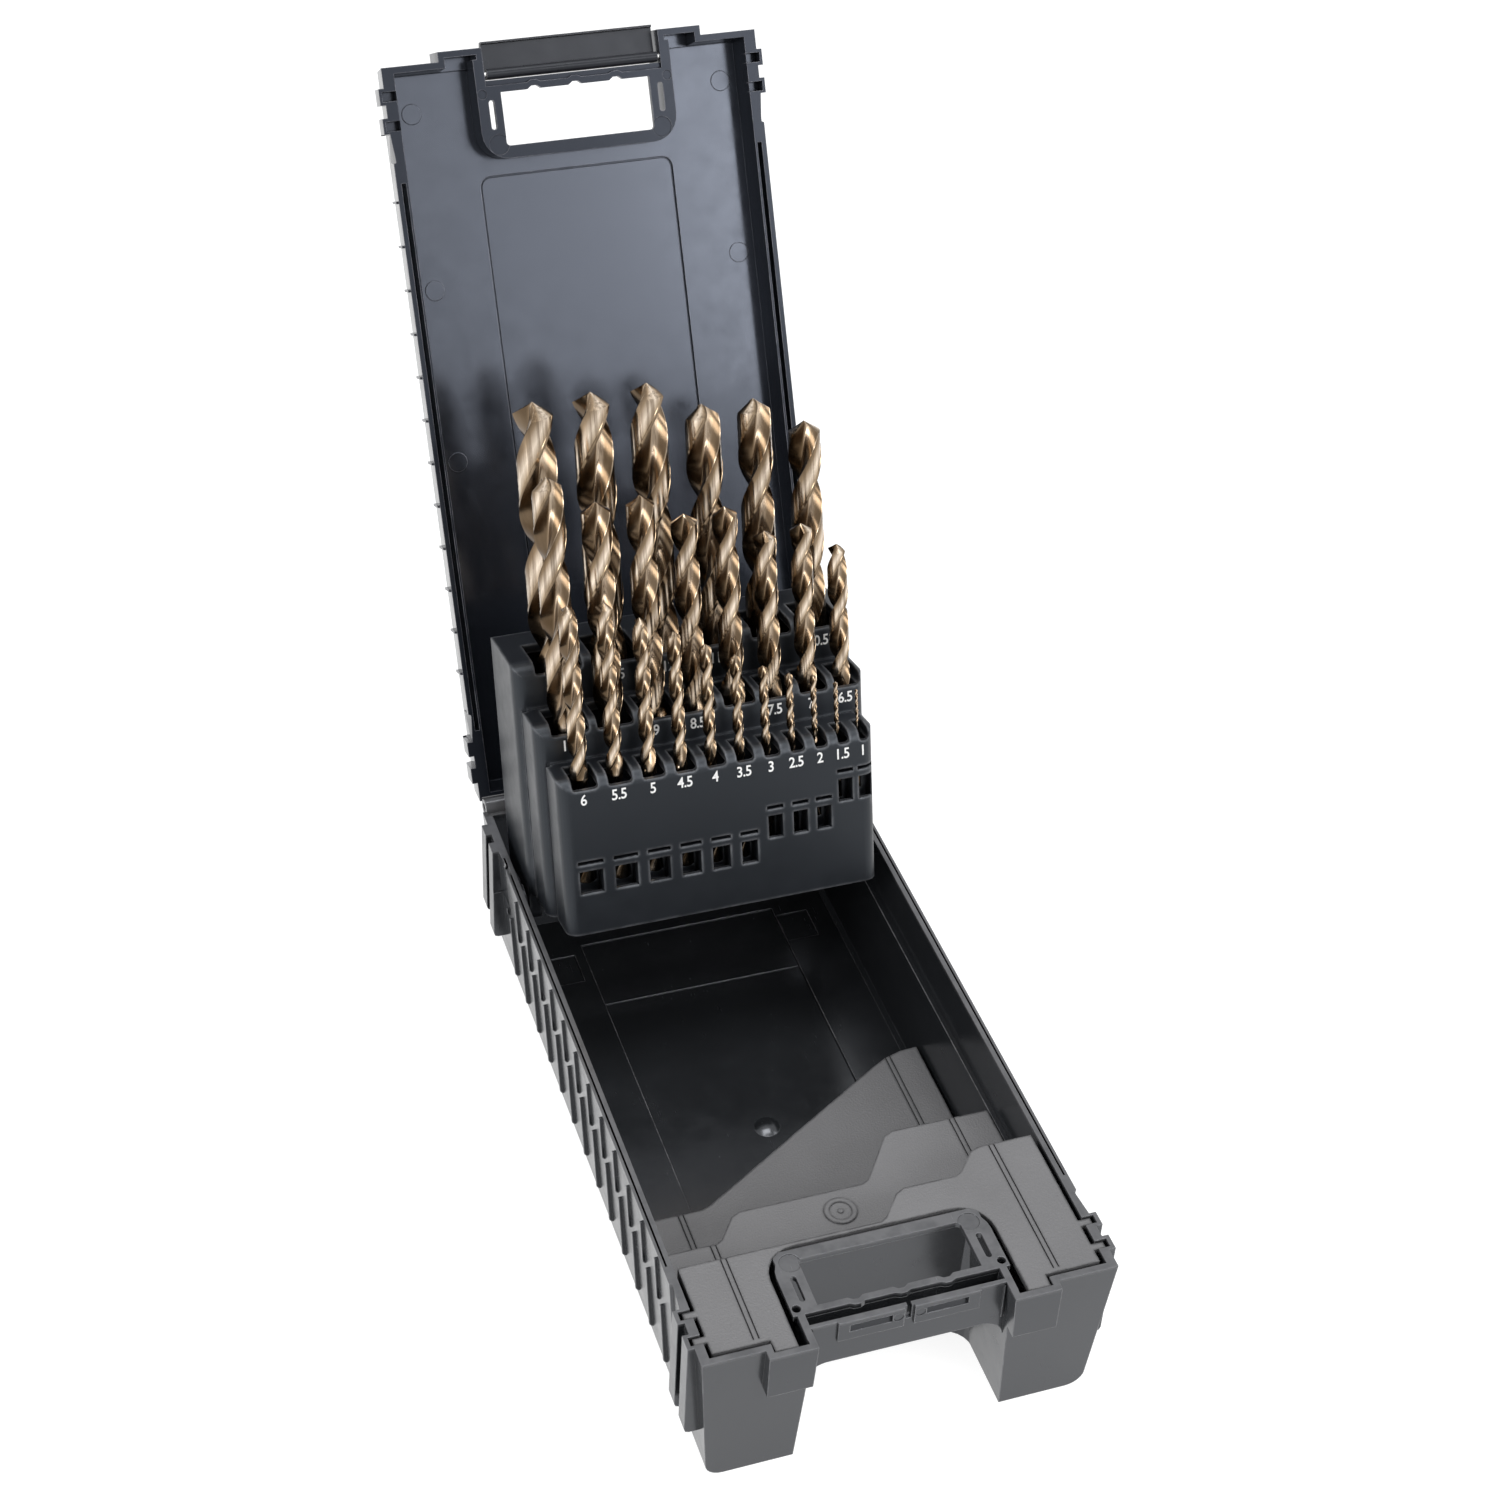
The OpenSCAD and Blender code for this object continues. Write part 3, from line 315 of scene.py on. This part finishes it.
def ground_steel(name):
    """Bronze-tinted ground tool steel with painted reflections: bright bands and dark bands
    across the lands and flutes, dark reflection streaks, and fine grinding lines.
    """
    material, n, where = start_material(name)
    reflection_streak = n.noise(n.stretch(where, (1.0, 1.0, 0.04)), 850.0, 2.0, 0.6)
    cloud = n.noise(where, 220.0, 3.0, 0.6)
    patch = n.noise(where, 60.0, 2.0)
    lines = n.add("ShaderNodeCombineXYZ", X=n.attribute("along")).outputs[0]
    grind = n.noise(lines, 9000.0, 2.0, 0.7)

    # the bronze tint carries painted reflections: bright highlight bands on the lands, dark
    # bands behind the lips
    tint_and_reflections = n.add("ShaderNodeValToRGB", Fac=n.attribute("across"))
    stops = tint_and_reflections.color_ramp.elements
    for at, colour in TINT_AND_REFLECTION_BANDS[1:-1]:
        stops.new(at)
    for stop, (at, colour) in zip(stops, TINT_AND_REFLECTION_BANDS):
        stop.position, stop.color = at, rgb(colour)
    # painted reflection: dark streaks along the drill over the bands
    tint = n.mix(n.ramp(reflection_streak, 0.42, 0.66, 0.0, 0.65), tint_and_reflections.outputs[0], rgb(REFLECTION_STREAK_TINT))
    tint = n.mix(n.ramp(patch, 0.4, 0.7, 0.0, 0.2), tint, rgb(PALE_TINT))
    tint = n.mix(n.ramp(cloud, 0.55, 0.8, 0.0, 0.15), tint, rgb(BROWN_TINT))

    shade = n.math("ADD", n.ramp(cloud, 0.3, 0.7, 0.16, 0.22),
                   n.ramp(n.attribute("flute"), 0.0, 0.5, 0.0, 0.06))
    bump = n.add("ShaderNodeBump", Strength=0.12, Distance=0.00002, Height=grind).outputs[0]
    shader = n.add("ShaderNodeBsdfPrincipled", Base_Color=tint, Roughness=shade, Normal=bump,
                   Metallic=1.0)
    n.output("ShaderNodeOutputMaterial", shader)
    return material


def drawn_steel(name):
    """Bright drawn wire for the hinge and latch pins, with lines along it."""
    material, n, where = start_material(name)
    lines = n.noise(n.stretch(where, (0.05, 1.0, 1.0)), 5000.0, 2.0)
    cloud = n.noise(where, 300.0)
    tint = n.mix(n.ramp(cloud, 0.35, 0.7, 0.0, 1.0), rgb(0.56), rgb(0.44))
    shade = n.ramp(lines, 0.3, 0.7, 0.22, 0.36)
    bump = n.add("ShaderNodeBump", Strength=0.2, Distance=0.00003, Height=lines).outputs[0]
    shader = n.add("ShaderNodeBsdfPrincipled", Base_Color=tint, Roughness=shade, Normal=bump,
                   Metallic=1.0)
    n.output("ShaderNodeOutputMaterial", shader)
    return material


def print_ink(name):
    """White pad-printed ink, a little uneven."""
    material, n, where = start_material(name)
    cloud = n.noise(where, 1500.0, 2.0)
    tint = n.mix(n.ramp(cloud, 0.4, 0.75, 0.0, 1.0), rgb((0.86, 0.86, 0.85)), rgb(0.68))
    shader = n.add("ShaderNodeBsdfPrincipled", Base_Color=tint, Roughness=0.55)
    n.output("ShaderNodeOutputMaterial", shader)
    return material


drill_metal = ground_steel("drill_metal")
pin_metal = drawn_steel("pin_metal")
ink = print_ink("ink")

for node, material in (
        ("base_shell", shell_black), ("lid_shell", lid_black), ("drill_holder", holder_black),
        ("drill_stop_insert", insert_grey), ("latch_flap", latch_grey),
        ("hinge_pin_left", pin_metal), ("hinge_pin_right", pin_metal),
        ("latch_pin", pin_metal)):
    nodes[node].data.materials.clear()
    nodes[node].data.materials.append(material)

# ---------------------------------------------------------------- twist drills

# Half of a drill's section, as angle in degrees and share of the radius: the land, its
# raised margin, the cutting lip, the flute, and the heel of the next land.
SECTION = [
    (0, 0.97), (15, 0.97), (30, 0.97), (45, 0.97), (58, 0.97), (66, 0.97), (67.5, 1.0),
    (76, 1.0), (77, 0.9), (78, 0.806), (80, 0.673), (83, 0.541), (88, 0.409), (95, 0.308),
    (104, 0.238), (114, 0.20), (126, 0.19), (138, 0.215), (148, 0.28), (156, 0.38),
    (163, 0.51), (169, 0.65), (174, 0.79), (178, 0.91),
]
# degrees on the section where the cutting lip stands and where the web ends
LIP, WEB_END = 76, 118
POINT_HALF_ANGLE = math.radians(59)
# shares of the radius at which the point has a ring
POINT_RINGS = (0.86, 0.7, 0.5, 0.3, 0.12)
LIP_RELIEF = math.radians(12)
HELIX = math.radians(30)
RINGS_PER_TURN = 46
# the flute runs out over this many diameters
RUN_OUT = 1.6
# the shank's bevelled end: its height and the radius of its foot, as shares of the radius
BEVEL_HEIGHT, BEVEL_FOOT = 0.16, 0.84
# rings along the plain shank, and from the last whole ring of the flutes to the point
SHANK_RINGS = SHOULDER_RINGS = 4
# the place in the painted tint and reflection bands for the middle of the foot and the tip
TIP_BAND = 0.2
SMOOTH_ANGLE = math.radians(38)


def behind_lip(a):
    """Degrees that a place on the section trails its cutting lip by, none along the web."""
    if LIP < a <= WEB_END:
        return 0
    return LIP - (a if a <= LIP else a - 180)


def drill_mesh(name, size, length, flute):
    """A twist drill in millimetres, standing on the origin with its point up."""
    radius = size / 2
    angle = np.radians([a + turn for turn in (0, 180) for a, _ in SECTION])
    share = np.array([r for _, r in SECTION] * 2)
    band = np.array([a / 180 for a, _ in SECTION] * 2)
    behind = np.radians(np.array([behind_lip(a) for a, _ in SECTION] * 2))
    n = len(angle)
    lead = math.pi * size / math.tan(HELIX)
    start = length - flute
    # the point's slope, steeper behind the lips, where the relief is taken at half the radius
    slope = 1 / math.tan(POINT_HALF_ANGLE)
    relieved = slope + behind * math.tan(LIP_RELIEF) * 0.5

    rows = []  # each row: height of every point, and its share of the radius

    def ring(z, shares):
        rows.append((np.broadcast_to(np.asarray(z, float), (n,)), shares))

    full = np.full(n, 1.0)
    bevel = radius * BEVEL_HEIGHT
    ring(0, np.full(n, BEVEL_FOOT))
    ring(bevel, full)
    for k in range(1, SHANK_RINGS + 1):
        ring(bevel + (start - bevel) * k / SHANK_RINGS, full)
    below = length - radius * slope - radius * 0.5
    count = max(16, int((below - start) / lead * RINGS_PER_TURN))
    for k in range(1, count + 1):
        z = start + (below - start) * k / count
        t = min(1.0, (z - start) / (RUN_OUT * size))
        ring(z, 1 + (share - 1) * t * t * (3 - 2 * t))
    top = length - radius * share * relieved
    for k in range(1, SHOULDER_RINGS + 1):
        ring(below + (top - below) * k / SHOULDER_RINGS, share)
    for k in POINT_RINGS:
        ring(length - radius * share * k * relieved, share * k)

    points, along, depth = [], [], []
    ground = len(rows) - len(POINT_RINGS) - 1
    for i, (z, shares) in enumerate(rows):
        turn = angle + 2 * math.pi * (z - start) / lead
        points.append(np.stack([radius * shares * np.cos(turn),
                                radius * shares * np.sin(turn), z], axis=1))
        along.append(z)
        # the ground point is as bright as the lands
        depth.append(1 - shares if i < ground else np.zeros(n))
    points = np.concatenate(points)
    foot, tip = len(points), len(points) + 1
    vertices = [tuple(p) for p in points] + [(0, 0, 0), (0, 0, length)]
    faces = [(foot, (j + 1) % n, j) for j in range(n)]
    for i in range(len(rows) - 1):
        a, b = i * n, (i + 1) * n
        faces += [(a + j, a + (j + 1) % n, b + (j + 1) % n, b + j) for j in range(n)]
    last = (len(rows) - 1) * n
    faces += [(last + j, last + (j + 1) % n, tip) for j in range(n)]
    mesh = bpy.data.meshes.new(name)
    mesh.from_pydata([tuple(c * MM for c in v) for v in vertices], [], faces)
    across = np.concatenate([np.tile(band, len(rows)), [TIP_BAND, TIP_BAND]])
    for key, values in (("flute", np.concatenate(depth + [[0, 0]])),
                        ("across", across),
                        ("along", np.concatenate(along + [[0, length]]) * MM)):
        attribute = mesh.attributes.new(key, "FLOAT", "POINT")
        attribute.data.foreach_set("value", values.astype(np.float32))
    mesh.shade_smooth()
    mesh.set_sharp_from_angle(angle=SMOOTH_ANGLE)
    return mesh


def drill_place(node):
    """Foot, diameter and length of a drill's CAD solid, in the leaning holder's frame."""
    inverse = STANDING.inverted()
    spots = np.array([inverse @ v.co for v in nodes[node].data.vertices]) / MM
    low, high = spots.min(0), spots.max(0)
    centre = (low + high) / 2
    return Vector((centre[0], centre[1], low[2])), high[0] - low[0], high[2] - low[2]


drill_x = {}
clock = 0
for tier in TIERS:
    for size, flute in tier:
        node = "drill_" + drill_name(size)
        place, diameter, length = drill_place(node)
        drill_x[size] = place.x
        drill = bpy.data.objects.new(node + "_twist", drill_mesh(node, diameter, length, flute))
        scene.collection.objects.link(drill)
        # each drill is turned in its pocket to one of twelve places
        clock = (clock * 7 + 5) % 12
        drill.matrix_world = (STANDING @ Matrix.Translation(place * MM)
                              @ Matrix.Rotation(math.radians(30 * clock), 4, "Z"))
        drill.data.materials.append(drill_metal)
        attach(drill, node)
        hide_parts(node)

# ---------------------------------------------------------------- printed sizes

# in millimetres, for each tier: its front, and a label's height and shift to the left
TIER_FRONT = [0, 14.9, 30.7]
LABEL_HEIGHT = [46.6, 59.0, 73.1]
LABEL_SHIFT = [0.8, 1.2, 0.8]
LETTER, NARROW, SPACING = 5.1, 0.86, 0.95
# the ink stands ahead of the front, and its back edge is just inside it
INK_AHEAD, INK_HALF_DEPTH, INK_SPREAD = 0.02, 0.03, 0.07

for tier, front, height, shift in zip(TIERS, TIER_FRONT, LABEL_HEIGHT, LABEL_SHIFT):
    for size, _ in tier:
        text = bpy.data.curves.new("size_" + drill_name(size), "FONT")
        text.body = "%g" % size
        text.size = LETTER * MM
        text.align_x = "CENTER"
        text.align_y = "CENTER"
        text.extrude = INK_HALF_DEPTH * MM
        text.offset = INK_SPREAD * MM
        text.resolution_u = 3
        text.space_character = SPACING
        label = bpy.data.objects.new(text.name, text)
        scene.collection.objects.link(label)
        spot = Vector((drill_x[size] - shift, front - INK_AHEAD, height)) * MM
        label.matrix_world = (STANDING @ Matrix.Translation(spot)
                              @ Matrix.Rotation(math.radians(90), 4, "X")
                              @ Matrix.Diagonal((NARROW, 1, 1, 1)))
        text.materials.append(ink)
        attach(label, "holder")

# ---------------------------------------------------------------- stage and light

# the background is white where it is seen and dimmer where it only lights the object
WORLD_LIGHT = 0.42
FLOOR_GLOW, FLOOR_MATT = 0.88, 0.3
FLOOR_REACH, FLOOR_DROP = 6.0, 0.0002


def make_world():
    world = bpy.data.worlds.new("world")
    scene.world = world
    n = Nodes(world)
    back = n.add("ShaderNodeBackground", Color=rgb(1.0),
                 Strength=n.ramp(n.seen(), 0.0, 1.0, WORLD_LIGHT, 1.0))
    n.output("ShaderNodeOutputWorld", back)


def make_floor():
    mesh = bpy.data.meshes.new("floor")
    corners = [(FLOOR_REACH * x, FLOOR_REACH * y, 0)
               for x, y in ((-1, -1), (1, -1), (1, 1), (-1, 1))]
    mesh.from_pydata(corners, [], [(0, 1, 2, 3)])
    floor = bpy.data.objects.new("floor", mesh)
    floor.location.z = -FLOOR_DROP
    scene.collection.objects.link(floor)
    material = bpy.data.materials.new("floor_white")
    n = Nodes(material)
    glow = n.add("ShaderNodeEmission", Color=rgb(1.0),
                 Strength=n.math("MULTIPLY", n.seen(), FLOOR_GLOW))
    # the matt part is what takes the object's shadow
    matt = n.add("ShaderNodeBsdfDiffuse", Color=rgb(FLOOR_MATT))
    both = n.add("ShaderNodeAddShader")
    n.put(both, 0, glow.outputs[0])
    n.put(both, 1, matt.outputs[0])
    n.output("ShaderNodeOutputMaterial", both)
    mesh.materials.append(material)


def make_light(name, place, aim, width, height, watts):
    data = bpy.data.lights.new(name, "AREA")
    data.shape = "RECTANGLE"
    data.size, data.size_y = width, height
    data.energy = watts
    light = bpy.data.objects.new(name, data)
    scene.collection.objects.link(light)
    light.location = place
    light.rotation_mode = "QUATERNION"
    light.rotation_quaternion = (Vector(aim) - Vector(place)).to_track_quat("-Z", "Y")


make_world()
make_floor()
make_light("softbox_left", (-1.45, -0.42, 0.62), (0, 0, 0.1), 0.6, 1.1, 16)
make_light("softbox_right", (1.2, -0.3, 1.0), (0, 0, 0.1), 0.35, 1.1, 6)
# two panels side by side, the right one brighter, which the lid mirrors
make_light("softbox_front_left", (0.320, -1.206, 1.01), (-0.255, 0.054, 0.2), 0.28, 0.66, 1.9)
make_light("softbox_front_right", (0.739, -1.015, 1.01), (0.164, 0.245, 0.2), 0.64, 0.66, 9.7)
make_light("softbox_top", (0.0, 0.1, 1.6), (0, -0.05, 0), 0.9, 0.6, 12)
